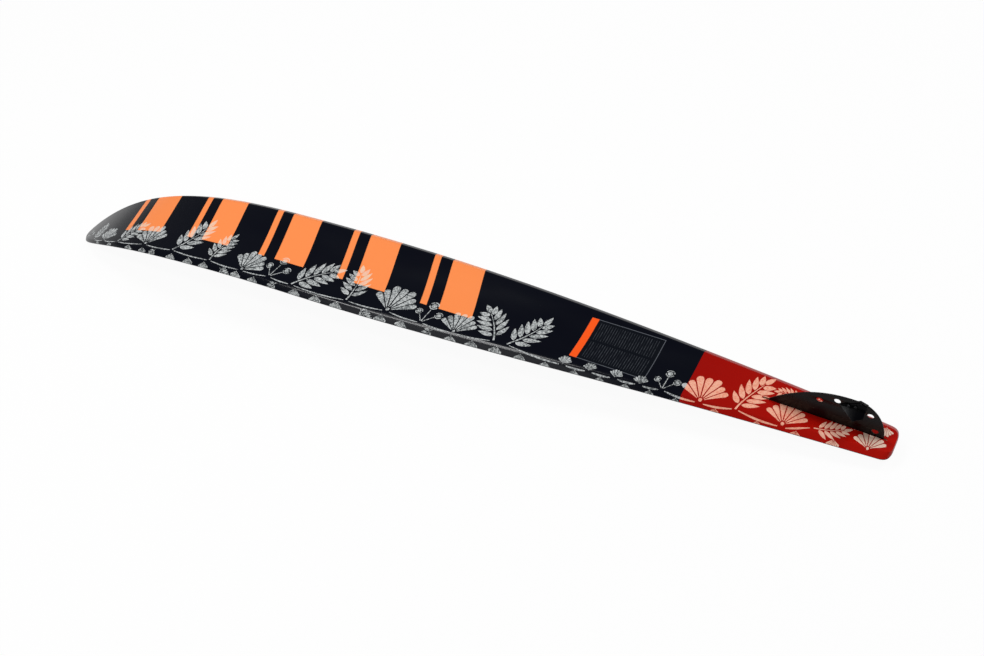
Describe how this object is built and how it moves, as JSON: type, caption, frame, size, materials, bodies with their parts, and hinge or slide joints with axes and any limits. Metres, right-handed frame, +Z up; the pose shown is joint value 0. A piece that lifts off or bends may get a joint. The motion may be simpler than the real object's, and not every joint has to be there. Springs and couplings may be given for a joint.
{
  "type": "water ski",
  "caption": "Slalom water ski lying base up, with a concave base, a rockered tip, binding inserts in its deck, and an adjustable fin with drooping wings in a clamp at the tail.",
  "frame": {"origin": "centre of the bounding box's underside, on the floor that the tip and the fin clamp's rear edge stand on", "axes": "+X along the ski to its tip, +Y across to the side the camera sees, +Z up, out of the base; the ski lies base up"},
  "size_m": [1.6536, 0.1818, 0.1134],
  "materials": {
    "base_gloss": "clear gel coat over printed navy, orange and red",
    "deck_gloss": "glossy near-black laminate",
    "foam": "rigid foam",
    "brass": "turned",
    "black_alloy": "satin black anodised",
    "clamp_alloy": "black anodised",
    "steel": "stainless",
    "dark_steel": "blackened"
  },
  "bodies": {
    "ski": {"base_laminate": "base_gloss", "deck_laminate": "deck_gloss", "foam_core": "foam", "front_insert_1": "brass", "front_insert_2": "brass", "front_insert_3": "brass", "front_insert_4": "brass", "front_insert_5": "brass", "front_insert_6": "brass", "rear_insert_1": "brass", "rear_insert_2": "brass", "rear_insert_3": "brass", "rear_insert_4": "brass", "rear_insert_5": "brass", "rear_insert_6": "brass", "fin_insert_1": "brass", "fin_insert_2": "brass", "fin_insert_3": "brass", "fin_insert_4": "brass", "mount_screw_1": "steel", "mount_screw_2": "steel", "mount_screw_3": "steel", "mount_screw_4": "steel", "adjuster_post": "clamp_alloy", "post_screw_left": "steel", "post_screw_right": "steel"},
    "fin_block": {"clamp_left": "clamp_alloy", "clamp_right": "clamp_alloy", "front_end_block": "clamp_alloy", "rear_end_block": "clamp_alloy", "clamp_bolt_rear": "steel", "clamp_bolt_middle": "steel", "clamp_bolt_front": "steel"},
    "fin": {"fin_blade": "black_alloy"},
    "wing": {"wing_left": "black_alloy", "wing_right": "black_alloy", "wing_pivot_screw": "dark_steel", "wing_lock_screw": "dark_steel", "wing_pivot_nut": "dark_steel", "wing_lock_nut": "dark_steel"},
    "length_screw": {"length_screw": "steel", "length_screw_clip": "dark_steel"},
    "depth_screw_front": {"depth_screw_front": "dark_steel"},
    "depth_screw_rear": {"depth_screw_rear": "dark_steel"}
  },
  "joints": [
    {"name": "fin_block_slide", "type": "slide", "parent": "ski", "child": "fin_block", "axis": [0.9924, 0, 0.1227], "range_m": [-0.003, 0.003]},
    {"name": "fin_depth_slide", "type": "slide", "parent": "fin_block", "child": "fin", "axis": [-0.1227, 0, 0.9924], "range_m": [-0.0015, 0.0015]},
    {"name": "wing_angle", "type": "hinge", "parent": "fin", "child": "wing", "pos_m": [-0.76802, 0, 0.08634], "axis": [0, 1, 0], "range_deg": [-4, 4]},
    {"name": "length_screw_turn", "type": "hinge", "parent": "ski", "child": "length_screw", "pos_m": [-0.63317, 0, 0.02412], "axis": [0.9924, 0, 0.1227], "range_deg": [-1360, 1360]},
    {"name": "depth_screw_front_turn", "type": "hinge", "parent": "fin", "child": "depth_screw_front", "pos_m": [-0.65931, 0, 0.03832], "axis": [-0.1227, 0, 0.9924], "range_deg": [-1090, 1090]},
    {"name": "depth_screw_rear_turn", "type": "hinge", "parent": "fin", "child": "depth_screw_rear", "pos_m": [-0.80222, 0, 0.02065], "axis": [-0.1227, 0, 0.9924], "range_deg": [-1090, 1090]}
  ],
  "couplings": [
    {"joint": "length_screw_turn", "follows": "fin_block_slide", "rad_per_m": 7854},
    {"joint": "depth_screw_front_turn", "follows": "fin_depth_slide", "rad_per_m": 12566},
    {"joint": "depth_screw_rear_turn", "follows": "fin_depth_slide", "rad_per_m": 12566}
  ]
}
